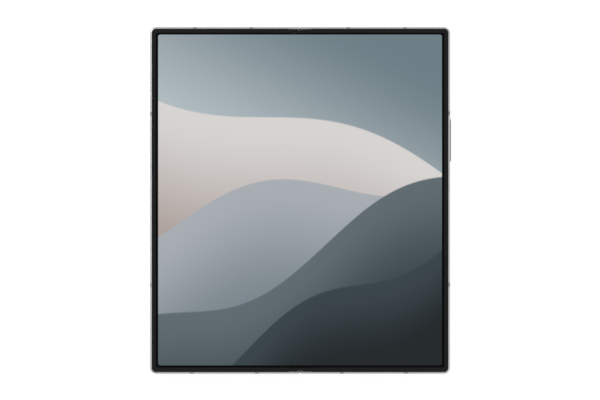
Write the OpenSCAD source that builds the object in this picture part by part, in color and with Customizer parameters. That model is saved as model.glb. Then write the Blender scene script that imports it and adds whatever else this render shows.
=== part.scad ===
// Foldable phone that opens like a book.
// X runs across the opened screen, Y runs along the fold and Z points out of the screen.
// The origin is under the middle of the fold, on the surface that the phone lies on.

/* [Body] */
// Width of the opened phone
body_w = 132.8; // [128:0.1:140]
// Height of the phone, along the fold
body_h = 153.5; // [150:0.1:162]
// Thickness of one half without its camera
body_t = 5.6; // [5.5:0.05:6]
// Corner radius of the frame, seen from the front
corner_r = 2.6; // [2.4:0.1:3.4]
// Rounding along the frame's outer edges
edge_r = 0.75; // [0.6:0.05:0.8]
// Thickness of the frame's side walls
wall_t = 2.2; // [2.1:0.05:2.3]
// Thickness of the glass on the two outer faces
glass_t = 0.45; // [0.35:0.01:0.5]
// From the frame's outer face to the edge of the outer glass
glass_inset = 0.85; // [0.8:0.05:1.1]
// Thickness of the plate between the display and the parts behind it
mid_t = 0.85; // [0.75:0.01:0.95]
// Clearance between two pieces that are fitted together
seat_gap = 0.05; // [0.03:0.01:0.08]

/* [Display] */
// Thickness of the folding display
panel_t = 0.5; // [0.4:0.01:0.55]
// From the frame's outer face to the edge of the folding display
panel_inset = 1.75; // [1.6:0.05:1.9]
// Height of the rim that stands round the display
rim_h = 0.5; // [0.4:0.01:0.6]
// Width of the rim at the top and the sides
rim_w = 1.8; // [1.5:0.05:2.2]
// Width of the rim at the bottom
rim_bottom_w = 2; // [1.6:0.05:2.4]
// Inner corner radius of the rim
rim_corner_r = 0.9; // [0.5:0.1:1.5]
// Half the width of the display's bending zone
bend_x = 4.83; // [4.7:0.01:5]
// Thickness of the support plate beside the bending zone
support_t = 0.2; // [0.1:0.01:0.25]
// From the fold to the end of the support plate
shelf_x = 13; // [12.6:0.1:14]

/* [Fold] */
// Gap between the two rims when the phone is folded
fold_gap = 0.9; // [0.8:0.05:1.1]
// Height of the two fold axes above the back
axis_h = 4.42; // [4.38:0.01:4.46]
// Height of the spine cover above the back
spine_lift = 1; // [0.95:0.01:1.1]
// Wall of the spine cover
spine_wall = 0.45; // [0.35:0.01:0.5]
// Height of the spine cover's rim above the back
spine_rim_h = 3.55; // [3.4:0.01:3.6]
// Air between the spine cover and the halves' pockets
pocket_gap = 0.25; // [0.2:0.01:0.35]
// Thickness of the halves' end walls beside the spine
end_wall_t = 1.4; // [1.2:0.05:1.6]
// Air between the ends of the spine cover and the end walls
spine_end_gap = 0.2; // [0.1:0.01:0.3]
// Half the gap between the two halves when open
notch_x = 0.25; // [0.2:0.01:0.35]
// Length of the dark caps at the ends of the fold, along Y
cap_w = 1.7; // [1.6:0.05:2]
// From the frame's outer face to the caps
cap_inset = 0.95; // [0.75:0.05:1]
// Gap between a cap and its neighbours
cap_gap = 0.2; // [0.1:0.01:0.25]

/* [Hinge mechanism] */
// From the end of the phone to a hinge module
module_inset = 7; // [7:0.1:12]
// Width of a swing arm
arm_w = 5; // [4:0.1:5.5]
// Mean radius of the swing arms' curved rails
rail_r = 2.15; // [2.1:0.01:2.2]
// Thickness of the curved rails
rail_t = 0.6; // [0.5:0.01:0.65]
// Thickness of the arms' mounting plates
arm_t = 0.55; // [0.45:0.01:0.6]
// From the fold to the end of the swing arms
arm_x = 11.5; // [10.8:0.1:12]
// Running clearance of the rails, the shafts and the gears
run_gap = 0.05; // [0.04:0.005:0.07]
// Gap beside each arm, along the fold
arm_gap = 0.1; // [0.08:0.01:0.2]
// Thickness of the hinge block's walls
web_t = 0.9; // [0.7:0.05:1.1]
// Teeth of the gears on the sync shafts
shaft_teeth = 8; // [8:2:8]
// Teeth of the two idler gears
idler_teeth = 12; // [12:4:12]
// Distance of each sync shaft from its fold axis, across and down
shaft_off = 1.37; // [1.34:0.01:1.4]
// Width of the gears
gear_w = 2; // [1.5:0.1:2.5]
// Play between the gear flanks
backlash = 0.08; // [0.06:0.01:0.1]
// Radius of the sync shafts
shaft_r = 0.4; // [0.3:0.01:0.42]
// Width of a sync arm
sync_w = 3; // [2.5:0.1:3.5]
// Thickness of a sync arm's blade
sync_t = 0.5; // [0.4:0.01:0.5]
// From the fold to the tip of a sync arm
sync_x = 10; // [9.5:0.1:10.5]
// Length of the disc spring stacks
stack_w = 2.6; // [2:0.1:3]
// Number of disc springs in a stack
discs = 5; // [3:1:6]

/* [Rear camera] */
// Height of the camera above the back
camera_bump = 1.4; // [1.2:0.05:2]
// Width of the camera island
island_w = 17.5; // [16.5:0.1:19]
// Height of the island's plate above the back
island_t = 0.9; // [0.7:0.05:1]
// Distance between neighbouring lenses
lens_pitch = 16.5; // [15.5:0.1:17.5]
// From the frame's outer face to the middle of the lenses
lens_inset = 13.3; // [12.5:0.1:14]
// From the top of the phone to the first lens
lens_top = 15.25; // [15:0.05:17]
// Outer radius of the rings round the lenses
ring_r = 7; // [6.5:0.1:7.5]
// Width of the rings round the lenses
ring_w = 1.4; // [1:0.05:1.6]
// Radius of the camera barrels
barrel_r = 4.3; // [3.8:0.1:4.6]
// Radius of the flash lens
flash_r = 1.7; // [1.4:0.1:2]

/* [Keys, port and tray] */
// Length of the volume key
volume_l = 19; // [17:0.1:20]
// From the top of the phone to the middle of the volume key
volume_top = 50.15; // [48:0.05:51]
// How far the volume key stands out
volume_out = 0.45; // [0.3:0.05:0.6]
// Length of the side key
side_l = 13.6; // [12:0.1:14.5]
// From the top of the phone to the middle of the side key
side_top = 72.35; // [70:0.05:73]
// How far the side key stands out
side_out = 0; // [0:0.05:0.2]
// Width of both keys
key_w = 1.9; // [1.6:0.1:2]
// Depth of the keys' caps in the frame
key_depth = 1.2; // [1:0.05:1.4]
// From the fold to the middle of the charging port
port_x = 33; // [31:0.5:36]
// Width of the charging port's shell
port_w = 8.94; // [8.9:0.02:9]
// Height of the charging port's shell
port_h = 3.26; // [3.2:0.02:3.3]
// Depth of the charging port
port_d = 7.35; // [7:0.05:7.6]
// From the bottom of the phone to the middle of the card tray
tray_foot = 21.75; // [20:0.05:22]
// Width of the card tray's face
tray_face = 13; // [12:0.1:14]
// Width of the card tray
tray_w = 10.6; // [10:0.1:11]
// Length of the card tray
tray_l = 20; // [18:0.5:22]
// Thickness of the card tray
tray_t = 1.1; // [0.9:0.05:1.2]
// Radius of the speaker's holes
hole_r = 0.45; // [0.3:0.05:0.5]

/* [Parts behind the display] */
// Thickness of the circuit boards
board_t = 0.8; // [0.6:0.05:0.9]
// From the frame's lower wall to the larger battery
cell_foot = 35.5; // [33:0.1:40]
// Height of the smaller battery, along the fold
cover_cell_h = 58; // [50:0.5:58]
// Height of the speaker, along the fold
speaker_h = 15.7; // [13:0.1:17]
// Radius of the vibration motor
motor_r = 4.6; // [4:0.1:4.8]
// Length of the magnets that hold the phone shut
magnet_l = 8; // [6:0.5:9]
// Thickness of the outer display
outer_t = 0.75; // [0.6:0.05:0.85]
// Outer radius of the charging coil
coil_r = 20; // [16:0.5:22]

/* [Hidden] */
$fn = 64;
over = 1;        // how far a cut runs past what it cuts
bond = 0.2;      // how far joined pieces of one solid reach into each other

// Plan
half_w = body_w / 2;
half_h = body_h / 2;
bay_x = half_w - wall_t;
bay_y = half_h - wall_t;
volume_y = half_h - volume_top;
side_y = half_h - side_top;
tray_y = tray_foot - half_h;
panel_r = max(corner_r - panel_inset, 0.5);
glass_r = corner_r - glass_inset;
cap_y0 = half_h - cap_inset - cap_w;
spine_y = half_h - end_wall_t - spine_end_gap;
pocket_y = half_h - end_wall_t;

// Heights
z_back = camera_bump;
z_axis = z_back + axis_h;
z_glass = z_back + glass_t;
z_front = z_back + body_t;
z_rim = z_front - rim_h;
z_panel = z_rim - seat_gap - panel_t;
z_support = z_panel - support_t;
z_bay = z_panel - mid_t;
z_key = z_back + (z_rim - z_back) / 2;

// Fold
axis_x = body_t + fold_gap / 2 - axis_h;
spine_r = axis_h - spine_lift;
pocket_r = spine_r + pocket_gap;
glass_x = axis_x + seat_gap;
z_skin = z_back + axis_h - pocket_r;
z_spine_rim = z_back + spine_rim_h;
z_spine_floor = z_back + spine_lift + spine_wall;
tip_r = axis_x - notch_x;
pad_x = 0.38;
pad_gap = 0.1;
pad_blade_x = 0.18;
pad_blade_inset = 0.45;
cap_tip_r = axis_x - pad_x - pad_gap;
cap_x1 = bend_x - 0.08;
rim_x0 = cap_x1 + cap_gap;
spine_end_t = 0.95;
z_spine_end = z_back + 2.9;
pad_top_z = z_rim + 0.15;
pad_over_rim = 0.4;

// Hinge modules; a place in one is counted from its outer end, along the fold
module_y = half_h - module_inset + 2.5;
slot_w = arm_w + 2 * arm_gap;
v_main_arm = web_t;
v_cover_arm = v_main_arm + slot_w + web_t;
v_wall_a = v_cover_arm + slot_w;
v_gears = v_wall_a + web_t;
v_wall_b = v_gears + gear_w + 2 * arm_gap;
v_sync = v_wall_b + web_t;
v_stack = v_sync + sync_w + 2 * arm_gap;
v_wall_c = v_stack + stack_w + 2 * arm_gap;
v_end = v_wall_c + web_t;
block_r = spine_r - spine_wall - seat_gap;
z_block_floor = z_spine_floor + seat_gap;
z_block_low = z_spine_rim + seat_gap;
z_block_high = z_back + 4.1;
block_high_x = axis_x + 1.75;
block_floor_t = 0.22;
lug_l = 1.9;
lug_w = 3;
lug_t = 0.45;
lug_screw_r = 0.35;
lug_head_r = 0.65;
lug_head_t = 0.3;
lug_screw_t = 0.3;
rail_from = 225;
rail_to = 355;
arm_z = z_support - seat_gap - arm_t;
arm_foot_x = axis_x + pocket_r + 0.3;
arm_foot_w = 8;
arm_lap = 0.2;
screw_x = (arm_foot_x + arm_x) / 2 + 0.7;
screw_dv = 2.5;
screw_r = 0.45;
screw_head_r = 0.9;
screw_head_t = 0.3;
screw_l = 1.9;
drive_r = 0.35;
drive_t = 0.15;

// Gear train: all four wheels stand in one row
shaft_x = axis_x + shaft_off;
shaft_z = z_axis - shaft_off;
gear_m = 2 * shaft_x / (shaft_teeth + 2 * idler_teeth);
idler_x = gear_m * idler_teeth / 2;
idler_axle_r = 0.35;
pressure = 22;
hub_r = 0.85;
sync_z = z_support - 0.15 - sync_t;
sync_drop = shaft_off * (sqrt(2) - 1);
sync_gap = 0.15;

// Camera
lens_x = half_w - lens_inset;
lens_y = [for (i = [0 : 2]) half_h - lens_top - i * lens_pitch];
island_y = lens_y[1];
island_l = 2 * lens_pitch + island_w;
neck_inset = 1.2;
camera_base = 10.4;
camera_lens_r = ring_r - ring_w;
lens_seat = 0.25;
lens_sunk = 0.1;
base_lift = 0.2;
flash_x = lens_x - island_w / 2 - 3.6;
flash_y = lens_y[0];
flash_flange = 0.5;
flash_depth = 0.4;

// Antenna breaks, as seen in the photograph
break_w = 1.7;
break_d = 0.6;
main_top_breaks = [21.4, 46.4];
main_bottom_breaks = [18.5, 46.9];
main_side_breaks = [half_h - 38.15, 39.45 - half_h];
cover_top_breaks = [21.6, 46.6];
cover_bottom_breaks = [19.1, 48];
cover_side_breaks = [half_h - 38.35, 39.25 - half_h];

// Behind the display
board_x0 = shelf_x + 1.9;
board_x1 = lens_x - camera_base / 2 - 4;
board_top = bay_y - 0.4;
cell_gap = 1.5;
cell_x1 = half_w - 5;
cell_y0 = cell_foot - bay_y;
cell_y1 = lens_y[2] - camera_base / 2 - cell_gap;
cell_z0 = z_glass + 0.45;
board_y0 = cell_y1 + cell_gap;
sub_y1 = cell_y0 - cell_gap;
hole_inset = 2;
shield_t = 1.5;
shield_h = 16;
speaker_x0 = port_x + 12;
speaker_x1 = half_w - 4.6;
wall_gap = 0.3;
motor_t = 2.5;
motor_y = speaker_h + 1.7 + motor_r - bay_y;
magnet_t = 1.8;
magnet_y1 = half_h - 32.75;
grille_x = 47;
grille_pitch = 2.2;
grille_n = 6;
mic_r = 0.35;
flex_w = 8;
flex_t = 0.15;
flex_y = 16;
flex_z = z_back + 3.95;
flex_x0 = bend_x + 0.6;
flex_x1 = shelf_x + 1.4;
plug_w = 1.2;
plug_t = 0.6;
inner_cam_r = 3;
inner_cam_x = half_w / 2;
inner_cam_y = half_h - 7.8;
outer_x0 = shelf_x / 2;
outer_inset = 3.7;
outer_z0 = z_glass + seat_gap;
outer_z1 = outer_z0 + outer_t;
punch_r = 1.9;
punch_x = half_w / 2;
punch_y = half_h - 8.2;
stem_r = 0.55;
stem_dy = 6;
switch_t = 1;
bracket_w = 0.9;
key_travel = 0.25;
tray_z = z_back + 2.5;
reader_gap = 0.15;
reader_wall = 0.5;
tray_face_w = 2.2;
tray_face_t = 0.9;

// ---------------------------------------------------------------- shared shapes

module mirror_y() {
    children();
    mirror([0, 1, 0]) children();
}

module mirror_x() {
    children();
    mirror([1, 0, 0]) children();
}

// Runs an X-Z outline along Y, from y0 to y1.
module along_y(y0, y1) {
    translate([0, y1, 0]) rotate([90, 0, 0]) linear_extrude(y1 - y0) children();
}

// Runs an X-Z outline along a hinge module, from place v0 to place v1.
module along_v(v0, v1) {
    along_y(module_y - v1, module_y - v0) children();
}

// Runs an outline along the three outer sides of the right half. In the outline X is the
// distance inwards from the half's outer face and Y is the height; the half ends at x0.
module along_edge(x0) {
    edge_h = half_h - corner_r;
    translate([half_w, edge_h, 0]) rotate([90, 0, 0]) linear_extrude(2 * edge_h)
        mirror([1, 0]) children();
    mirror_y() {
        translate([x0, half_h, 0]) rotate([90, 0, 90]) linear_extrude(half_w - corner_r - x0)
            mirror([1, 0]) children();
        translate([half_w - corner_r, edge_h, 0]) rotate_extrude(angle = 90)
            translate([corner_r, 0]) mirror([1, 0]) children();
    }
}

// A block of the half's plan from x0 to x1, with y0 and y1, and the heights z0 and z1.
module block(x0, x1, y0, y1, z0, z1) {
    translate([x0, y0, z0]) cube([x1 - x0, y1 - y0, z1 - z0]);
}

// A block with corners of radius r in plan.
module soft_block(x0, x1, y0, y1, z0, z1, r) {
    translate([0, 0, z0]) linear_extrude(z1 - z0) {
        translate([x0 + r, y0]) square([x1 - x0 - 2 * r, y1 - y0]);
        translate([x0, y0 + r]) square([x1 - x0, y1 - y0 - 2 * r]);
        for (x = [x0 + r, x1 - r], y = [y0 + r, y1 - r]) translate([x, y]) circle(r);
    }
}

// A slab that ends square at x0 and has round corners at its outer side.
module half_slab(x0, x1, y1, z0, z1, r) {
    translate([0, 0, z0]) linear_extrude(z1 - z0) {
        translate([x0, -y1]) square([x1 - x0 - r, 2 * y1]);
        translate([x0, r - y1]) square([x1 - x0, 2 * (y1 - r)]);
        for (y = [r - y1, y1 - r]) translate([x1 - r, y]) circle(r);
    }
}

// A long hole or bar with round ends, l long and w wide.
module slot_2d(l, w) {
    square([l - w, w], center = true);
    for (s = [-1, 1]) translate([s * (l - w) / 2, 0]) circle(w / 2);
}

// The same along X and standing on z0.
module bar(l, w, x, y, z0, z1) {
    translate([x, y, z0]) linear_extrude(z1 - z0) rotate(90) slot_2d(l, w);
}

module disc(r, x, y, z0, z1) {
    translate([x, y, z0]) cylinder(r = r, h = z1 - z0);
}

// A rod along Y at x and z, from place v0 to place v1 of a hinge module.
module rod_v(r, x, z, v0, v1) {
    translate([x, module_y - v0, z]) rotate([90, 0, 0]) cylinder(r = r, h = v1 - v0);
}

// ---------------------------------------------------------------- frame of a half

module wall_outline() {
    difference() {
        union() {
            translate([edge_r, z_back]) square([wall_t - edge_r, z_rim - z_back]);
            translate([0, z_back + edge_r]) square([wall_t, z_rim - z_back - 2 * edge_r]);
            for (z = [z_back + edge_r, z_rim - edge_r]) translate([edge_r, z]) circle(edge_r);
        }
        translate([glass_inset - seat_gap, z_back - over]) square([wall_t, glass_t + over]);
        translate([panel_inset - seat_gap, z_panel]) square([wall_t, z_rim - z_panel + over]);
    }
}

// Everything near the fold axis that the spine and the other half need.
module pocket_cut() {
    reach = z_front - z_back;
    along_y(-pocket_y, pocket_y) {
        translate([axis_x, z_axis]) circle(pocket_r);
        translate([notch_x - over, z_skin]) square([axis_x - notch_x + over, reach]);
        translate([notch_x, z_axis]) square([axis_x - notch_x + pocket_r, reach]);
    }
    // the end walls' tips are round above the axis, so that they pass each other
    mirror_y() along_y(pocket_y - over, half_h + over) difference() {
        translate([notch_x - over, z_axis]) square([axis_x - notch_x + over, reach]);
        translate([axis_x, z_axis]) circle(tip_r);
    }
}

module arm_foot_cut(v) {
    mid = v + slot_w / 2;
    mirror_y() {
        along_v(mid - arm_foot_w / 2 - seat_gap, mid + arm_foot_w / 2 + seat_gap)
            translate([arm_foot_x - seat_gap, arm_z])
                square([arm_x - arm_foot_x + 2 * seat_gap, over]);
        along_v(v, v + slot_w) translate([axis_x, arm_z]) square([arm_foot_x - axis_x, over]);
        for (s = [-1, 1]) translate([screw_x, module_y - mid - s * screw_dv, 0])
            translate([0, 0, arm_z - screw_l]) cylinder(r = screw_r + seat_gap, h = screw_l + over);
    }
}

module sync_slot_cut() {
    z0 = sync_z - sync_drop - run_gap;
    mirror_y() along_v(v_sync, v_sync + sync_w + 2 * arm_gap)
        translate([axis_x + spine_r, z0])
            square([sync_x + sync_gap - axis_x - spine_r, over + z_support - z0]);
}

module flex_cut() {
    block(axis_x + spine_r, flex_x1 + 1.1, flex_y - flex_w / 2 - 0.4, flex_y + flex_w / 2 + 0.4,
        flex_z - flex_t, z_panel - bond);
    block(shelf_x - 1, flex_x1 + 1.1, flex_y - flex_w / 2 - 0.4, flex_y + flex_w / 2 + 0.4,
        z_bay - 1.2, z_bay + over / 2);
}

// The frame that both halves share, drawn for the right half; arm_v places its swing arm.
module half_frame(arm_v) {
    difference() {
        union() {
            along_edge(notch_x) wall_outline();
            block(notch_x, glass_x + bond, -bay_y - bond, bay_y + bond, z_back, z_skin + bond);
            block(glass_x, shelf_x, -bay_y - bond, bay_y + bond, z_glass, z_support);
            block(shelf_x - bond, bay_x + bond, -bay_y - bond, bay_y + bond, z_bay, z_panel);
        }
        block(glass_x - seat_gap, shelf_x, -half_h + glass_inset - seat_gap,
            half_h - glass_inset + seat_gap, z_back - over, z_glass);
        pocket_cut();
        block(axis_x, shelf_x, -pocket_y, pocket_y, z_support, z_rim);
        arm_foot_cut(arm_v);
        sync_slot_cut();
        flex_cut();
    }
}

// The boxes that hold the antenna breaks of the right half.
module break_boxes(top, bottom, side) {
    deep = break_d + over;
    for (x = top) translate([x - break_w / 2, half_h - break_d, 0]) cube([break_w, deep, 2 * z_front]);
    for (x = bottom) translate([x - break_w / 2, -half_h - over, 0]) cube([break_w, deep, 2 * z_front]);
    for (y = side) translate([half_w - break_d, y - break_w / 2, 0]) cube([deep, break_w, 2 * z_front]);
}

module half_breaks(top, bottom, side) {
    intersection() {
        along_edge(notch_x) wall_outline();
        break_boxes(top, bottom, side);
    }
}

module rim_outline(w) {
    soft = 0.12;
    translate([edge_r, z_rim]) square([w, rim_h - soft]);
    translate([edge_r + soft, z_rim]) square([w - 2 * soft, rim_h]);
    for (u = [edge_r + soft, edge_r + w - soft]) translate([u, z_front - soft]) circle(soft);
}

module half_rim() {
    inner = edge_r + rim_w;
    along_edge(rim_x0) rim_outline(rim_w);
    // the bottom stretch is wider
    translate([rim_x0, -half_h, 0]) rotate([90, 0, 90]) linear_extrude(half_w - corner_r - rim_x0)
        rim_outline(rim_bottom_w);
    // inner corners
    translate([0, 0, z_rim]) linear_extrude(rim_h - 0.05) difference() {
        for (y = [inner - half_h, half_h - inner - rim_corner_r - bond])
            translate([half_w - inner - rim_corner_r, y]) square([rim_corner_r + bond, rim_corner_r + bond]);
        for (s = [-1, 1]) translate([half_w - inner - rim_corner_r, s * (half_h - inner - rim_corner_r)])
            circle(rim_corner_r);
    }
}

// The dark cap at each end of the fold; its tip is round about the fold axis.
module half_caps() {
    mirror_y() along_y(cap_y0, cap_y0 + cap_w) {
        translate([axis_x, z_rim]) square([cap_x1 - axis_x, rim_h - 0.05]);
        intersection() {
            translate([axis_x - cap_tip_r, z_rim]) square([cap_tip_r + bond, rim_h]);
            translate([axis_x, z_axis]) circle(cap_tip_r);
        }
    }
}

module half_display() {
    half_slab(bend_x, half_w - panel_inset, half_h - panel_inset, z_panel, z_panel + panel_t, panel_r);
}

module half_support() {
    translate([0, 0, z_support]) linear_extrude(support_t) difference() {
        translate([bend_x, -cap_y0]) square([shelf_x - seat_gap - bend_x, 2 * cap_y0]);
        // slits let the plate flex at the bending zone
        for (y = [-cap_y0 + 6 : 6 : cap_y0 - 6]) translate([bend_x + 1.6, y]) slot_2d(1.6, 0.5);
    }
}

module half_glass() {
    half_slab(glass_x, half_w - glass_inset, half_h - glass_inset, z_back, z_glass, glass_r);
}

// ---------------------------------------------------------------- hinge pieces

module ring_sector(r0, r1, from, to) {
    reach = 2 * r1;
    intersection() {
        difference() {
            circle(r1);
            circle(r0);
        }
        polygon(concat([[0, 0]], [for (i = [0 : 4]) let (a = from + i * (to - from) / 4)
            [reach * cos(a), reach * sin(a)]]));
    }
}

module half_arms(v) {
    mid = v + slot_w / 2;
    mirror_y() {
        along_v(v + arm_gap, v + arm_gap + arm_w) {
            translate([axis_x, z_axis])
                ring_sector(rail_r - rail_t / 2, rail_r + rail_t / 2, rail_from, rail_to);
            translate([axis_x + rail_r - arm_lap, arm_z])
                square([arm_foot_x - axis_x - rail_r + arm_lap + bond, arm_t]);
        }
        difference() {
            soft_block(arm_foot_x, arm_x, module_y - mid - arm_foot_w / 2, module_y - mid + arm_foot_w / 2,
                arm_z, arm_z + arm_t, 0.4);
            for (s = [-1, 1]) translate([screw_x, module_y - mid - s * screw_dv, arm_z]) {
                translate([0, 0, -over]) cylinder(r = screw_r + seat_gap, h = arm_t + 2 * over);
                translate([0, 0, arm_t - screw_head_t]) cylinder(r = screw_head_r + seat_gap, h = arm_t);
            }
        }
    }
}

module half_arm_screws(v) {
    mid = v + slot_w / 2;
    top = arm_z + arm_t;
    mirror_y() for (s = [-1, 1]) translate([screw_x, module_y - mid - s * screw_dv, 0]) difference() {
        union() {
            translate([0, 0, top - screw_head_t]) cylinder(r = screw_head_r, h = screw_head_t);
            translate([0, 0, arm_z - screw_l + seat_gap]) cylinder(r = screw_r, h = screw_l);
        }
        translate([0, 0, top - drive_t]) cylinder(r = drive_r, h = over, $fn = 6);
    }
}

module spine_outline(r, top) {
    intersection() {
        union() {
            for (s = [-1, 1]) translate([s * axis_x, z_axis]) circle(r);
            translate([-axis_x, z_axis - r]) square([2 * axis_x, r]);
        }
        translate([-half_w / 2, 0]) square([half_w, top]);
    }
}

module block_outline() {
    spine_outline(block_r, z_block_low);
    translate([-block_high_x, z_block_low - 1]) square([2 * block_high_x, z_block_high - z_block_low + 1]);
}

// A wall of the hinge block with bores for the shafts and, if asked, for the idlers.
module bearing_wall(v, idlers) {
    difference() {
        along_v(v, v + web_t) block_outline();
        for (s = [-1, 1]) {
            rod_v(shaft_r + run_gap, s * shaft_x, shaft_z, v - over, v + web_t + over);
            if (idlers) rod_v(idler_axle_r + run_gap, s * idler_x, shaft_z, v - over, v + web_t + over);
        }
    }
}

// A slice of the hinge block with the groove for one swing arm's rail.
module guide_slice(v, side) {
    difference() {
        along_v(v - bond, v + slot_w + bond) block_outline();
        along_v(v, v + slot_w) translate([side * axis_x, z_axis]) difference() {
            circle(rail_r + rail_t / 2 + run_gap);
            circle(rail_r - rail_t / 2 - run_gap);
        }
    }
}

module hinge_block() {
    difference() {
        union() {
            along_v(0, web_t) block_outline();
            guide_slice(v_main_arm, 1);
            along_v(v_cover_arm - web_t, v_cover_arm) block_outline();
            guide_slice(v_cover_arm, -1);
            along_v(0, v_end) spine_outline(block_r, z_block_floor + block_floor_t);
            for (v = [-lug_l, v_end - bond]) along_v(v, v + lug_l + bond)
                translate([-lug_w / 2, z_block_floor]) square([lug_w, lug_t]);
        }
        for (v = [-lug_l / 2, v_end + lug_l / 2])
            disc(lug_screw_r + seat_gap, 0, module_y - v, 0, z_block_low);
    }
    bearing_wall(v_wall_a, true);
    bearing_wall(v_wall_b, true);
    bearing_wall(v_wall_c, false);
}

function involute(base, a) = [
    base * (cos(a) + a * PI / 180 * sin(a)),
    base * (sin(a) - a * PI / 180 * cos(a))
];
function turned(p, a) = [p[0] * cos(a) - p[1] * sin(a), p[0] * sin(a) + p[1] * cos(a)];

// The outline of a gear with its first tooth at angle phase.
module gear_2d(teeth, phase) {
    pitch_r = gear_m * teeth / 2;
    base = pitch_r * cos(pressure);
    tip = pitch_r + 0.9 * gear_m;
    root = pitch_r - 1.15 * gear_m;
    roll_tip = sqrt(pow(tip / base, 2) - 1) * 180 / PI;
    half = 90 / teeth - backlash / 2 / pitch_r * 90 / PI + tan(pressure) * 180 / PI - pressure;
    low = min(root, base) - 0.05;
    flank = [for (i = [0 : 3]) turned(involute(base, roll_tip * i / 3), -half)];
    right = concat([[low * cos(half), -low * sin(half)]], flank);
    tooth = concat(right, [for (i = [len(right) - 1 : -1 : 0]) [right[i][0], -right[i][1]]]);
    circle(root);
    for (k = [0 : teeth - 1]) rotate(phase + k * 360 / teeth) polygon(tooth);
}

// The blade outline of a sync arm, seen along the fold.
module sync_arm_outline() {
    translate([shaft_x, shaft_z]) circle(hub_r);
    polygon([
        [shaft_x - 0.75, shaft_z + 0.2], [shaft_x + 0.75, shaft_z + 0.3], [shaft_x + 1.55, sync_z],
        [shaft_x + 1.55, sync_z + sync_t], [shaft_x - 0.2, sync_z + sync_t]
    ]);
    translate([shaft_x, sync_z]) square([sync_x - shaft_x - sync_t / 2, sync_t]);
    translate([sync_x - sync_t / 2, sync_z + sync_t / 2]) circle(sync_t / 2);
}

// Both sync shafts of one half; phase turns their gears into mesh.
module sync_shafts(phase) {
    mirror_y() {
        rod_v(shaft_r, shaft_x, shaft_z, v_wall_a + bond + run_gap, v_end - run_gap);
        along_v(v_gears + arm_gap, v_gears + arm_gap + gear_w)
            translate([shaft_x, shaft_z]) gear_2d(shaft_teeth, phase);
        along_v(v_sync + arm_gap, v_sync + arm_gap + sync_w) sync_arm_outline();
    }
}

module idler_gears(x, phase) {
    mirror_y() {
        rod_v(idler_axle_r, x, shaft_z, v_wall_a + bond + run_gap, v_wall_b + web_t - run_gap);
        along_v(v_gears + arm_gap, v_gears + arm_gap + gear_w)
            translate([x, shaft_z]) gear_2d(idler_teeth, phase);
    }
}

// ---------------------------------------------------------------- main half

module key_cut(y, l, stems) {
    translate([half_w - key_depth - key_travel - 0.05, y, z_key]) rotate([90, 0, 90])
        linear_extrude(2 * key_depth) slot_2d(l + 0.2, key_w + 0.1);
    for (s = stems) translate([bay_x - over, y + s, z_key]) rotate([0, 90, 0])
        cylinder(r = stem_r + 0.15, h = wall_t);
}

module key_shape(y, l, out, stems) {
    soft = 0.15;
    translate([half_w - key_depth, y, z_key]) rotate([90, 0, 90]) {
        linear_extrude(key_depth + out - soft) slot_2d(l, key_w);
        linear_extrude(key_depth + out) slot_2d(l - 2 * soft, key_w - 2 * soft);
    }
    for (s = stems) translate([bay_x - seat_gap, y + s, z_key]) rotate([0, 90, 0])
        cylinder(r = stem_r, h = wall_t - key_depth + bond);
}

module port_cut() {
    translate([port_x, port_d - half_h + seat_gap, z_key]) rotate([90, 0, 0])
        linear_extrude(port_d + over) slot_2d(port_w + 2 * seat_gap, port_h + 2 * seat_gap);
}

module main_frame() {
    color("silver") difference() {
        half_frame(v_main_arm);
        break_boxes(main_top_breaks, main_bottom_breaks, main_side_breaks);
        key_cut(volume_y, volume_l, [-stem_dy, stem_dy]);
        key_cut(side_y, side_l, [0]);
        port_cut();
        for (i = [0 : grille_n - 1]) translate([grille_x + i * grille_pitch, over - bay_y, z_key])
            rotate([90, 0, 0]) cylinder(r = hole_r, h = wall_t + 2 * over);
        for (x = [port_x - 10.5, port_x + 9]) translate([x, -bay_y + over, z_key]) rotate([90, 0, 0])
            cylinder(r = mic_r, h = wall_t + 2 * over);
        translate([port_x, bay_y - over, z_key]) rotate([-90, 0, 0])
            cylinder(r = mic_r, h = wall_t + 2 * over);
        disc(inner_cam_r + seat_gap, inner_cam_x, inner_cam_y, z_bay - over, z_panel + over);
    }
}

module main_antenna_breaks() {
    color("gray") half_breaks(main_top_breaks, main_bottom_breaks, main_side_breaks);
}

module main_rim() {
    color("dimgray") half_rim();
}

module main_hinge_caps() {
    color("dimgray") half_caps();
}

module main_display_panel() {
    color("slategray") half_display();
}

module main_support_plate() {
    color("gainsboro") half_support();
}

module rear_glass() {
    color("lightgray") difference() {
        half_glass();
        bar(island_l - 2 * (neck_inset - seat_gap), island_w - 2 * (neck_inset - seat_gap), lens_x, island_y,
            z_back - over, z_glass + over);
        disc(flash_r + seat_gap, flash_x, flash_y, z_back - over, z_glass + over);
    }
}

module camera_island() {
    soft = 0.25;
    color("silver") difference() {
        union() {
            bar(island_l, island_w, lens_x, island_y, z_back - island_t + soft, z_back);
            bar(island_l - 2 * soft, island_w - 2 * soft, lens_x, island_y, z_back - island_t, z_back);
            bar(island_l - 2 * neck_inset, island_w - 2 * neck_inset, lens_x, island_y,
                z_back - bond, z_glass);
        }
        for (y = lens_y) {
            disc(barrel_r + seat_gap, lens_x, y, -over, z_glass + over);
            disc(camera_lens_r + seat_gap, lens_x, y, -over, z_back - island_t + lens_seat);
        }
    }
}

module camera_rings() {
    soft = 0.2;
    color("darkgray") for (y = lens_y) translate([lens_x, y, 0]) rotate_extrude() {
        translate([ring_r - ring_w + seat_gap, 0]) square([ring_w - seat_gap - soft, z_back - island_t]);
        translate([ring_r - ring_w + seat_gap, soft]) square([ring_w - seat_gap, z_back - island_t - soft]);
        translate([ring_r - soft, soft]) circle(soft);
    }
}

module camera_lens_glass() {
    color("black") for (y = lens_y) disc(camera_lens_r, lens_x, y, lens_sunk, z_back - island_t + lens_seat);
}

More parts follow.
